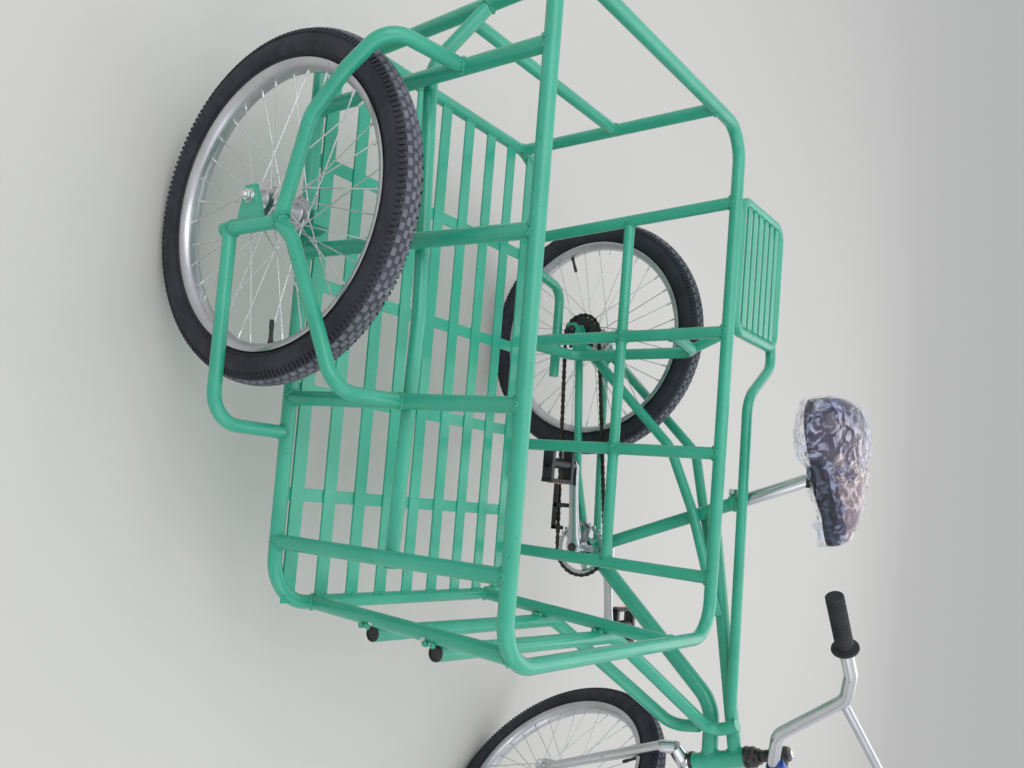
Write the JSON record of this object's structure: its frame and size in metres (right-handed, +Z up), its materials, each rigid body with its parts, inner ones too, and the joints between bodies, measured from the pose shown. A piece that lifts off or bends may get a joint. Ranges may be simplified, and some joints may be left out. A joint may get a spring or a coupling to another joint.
{
  "type": "cycle rickshaw",
  "caption": "Green cargo cycle rickshaw: a small-wheeled bicycle with a tubular steel basket on a third wheel at its right side.",
  "frame": {"origin": "on the ground under the middle of the vehicle's extents", "axes": "+X forward, the way the bicycle rides; +Y to the rider's left, away from the basket; +Z up"},
  "size_m": [1.4758, 1.185, 1.0603],
  "materials": {
    "green_paint": "gloss",
    "chrome": "polished",
    "dark_steel": "satin",
    "tyre_rubber": "matt",
    "black_plastic": "matt",
    "saddle_vinyl": "satin"
  },
  "bodies": {
    "frame": {"axle_brace": "green_paint", "axle_hoop": "green_paint", "cargo_floor": "green_paint", "chain_stay_left": "green_paint", "chain_stay_right": "green_paint", "down_tube": "green_paint", "front_post_inboard": "green_paint", "front_post_outboard": "green_paint", "guard_front_strut": "green_paint", "guard_lower_rail": "green_paint", "guard_rear_strut": "green_paint", "head_tube": "green_paint", "inboard_mid_rail_1": "green_paint", "inboard_mid_rail_2": "green_paint", "inboard_mid_rail_3": "green_paint", "inboard_post_1": "green_paint", "inboard_post_2": "green_paint", "inboard_post_3": "green_paint", "inboard_post_4": "green_paint", "long_stay_left": "green_paint", "long_stay_right": "green_paint", "lower_arm": "green_paint", "outboard_mid_rail": "green_paint", "outboard_post_1": "green_paint", "outboard_post_2": "green_paint", "outboard_post_3": "green_paint", "outboard_post_4": "green_paint", "rack_platform": "green_paint", "rack_rail": "green_paint", "rack_strut": "green_paint", "rear_mid_rail": "green_paint", "rear_post_inboard": "green_paint", "rear_post_outboard": "green_paint", "seat_tube": "green_paint", "top_rail": "green_paint", "top_tube": "green_paint", "upper_arm": "green_paint", "seat_post": "chrome", "saddle": "saddle_vinyl", "chain": "dark_steel", "rear_axle": "dark_steel", "sidecar_axle": "dark_steel"},
    "rear_wheel": {"rear_tyre": "tyre_rubber", "rear_wheel_rim": "chrome", "rear_sprocket": "dark_steel"},
    "sidecar_wheel": {"sidecar_tyre": "tyre_rubber", "sidecar_wheel_rim": "chrome"},
    "front_wheel": {"front_tyre": "tyre_rubber", "front_wheel_rim": "chrome"},
    "steering": {"fork": "chrome", "stem": "black_plastic", "handlebar": "chrome", "grip_left": "black_plastic", "grip_right": "black_plastic", "front_axle": "dark_steel"},
    "crank": {"crankset": "chrome"},
    "pedal_left": {"pedal_left": "black_plastic"},
    "pedal_right": {"pedal_right": "black_plastic"}
  },
  "joints": [
    {"name": "steering_hinge", "type": "hinge", "parent": "frame", "child": "steering", "pos_m": [0.43301, 0.37348, 0.61], "axis": [-0.2924, 0, 0.9563], "range_deg": [-10, 110]},
    {"name": "front_wheel_spin", "type": "hinge", "parent": "steering", "child": "front_wheel", "pos_m": [0.55548, 0.35899, 0.25098], "axis": [0.7326, 0.6428, 0.224], "continuous": true},
    {"name": "rear_wheel_spin", "type": "hinge", "parent": "frame", "child": "rear_wheel", "pos_m": [-0.39899, 0.37348, 0.256], "axis": [0, 1, 0], "continuous": true},
    {"name": "sidecar_wheel_spin", "type": "hinge", "parent": "frame", "child": "sidecar_wheel", "pos_m": [-0.41259, -0.52532, 0.256], "axis": [0, 1, 0], "continuous": true},
    {"name": "crank_spin", "type": "hinge", "parent": "frame", "child": "crank", "pos_m": [0.05701, 0.37348, 0.292], "axis": [0, 1, 0], "continuous": true},
    {"name": "pedal_left_spin", "type": "hinge", "parent": "crank", "child": "pedal_left", "pos_m": [0.22637, 0.37348, 0.30682], "axis": [0, 1, 0], "continuous": true},
    {"name": "pedal_right_spin", "type": "hinge", "parent": "crank", "child": "pedal_right", "pos_m": [-0.11234, 0.37348, 0.27718], "axis": [0, 1, 0], "continuous": true}
  ]
}
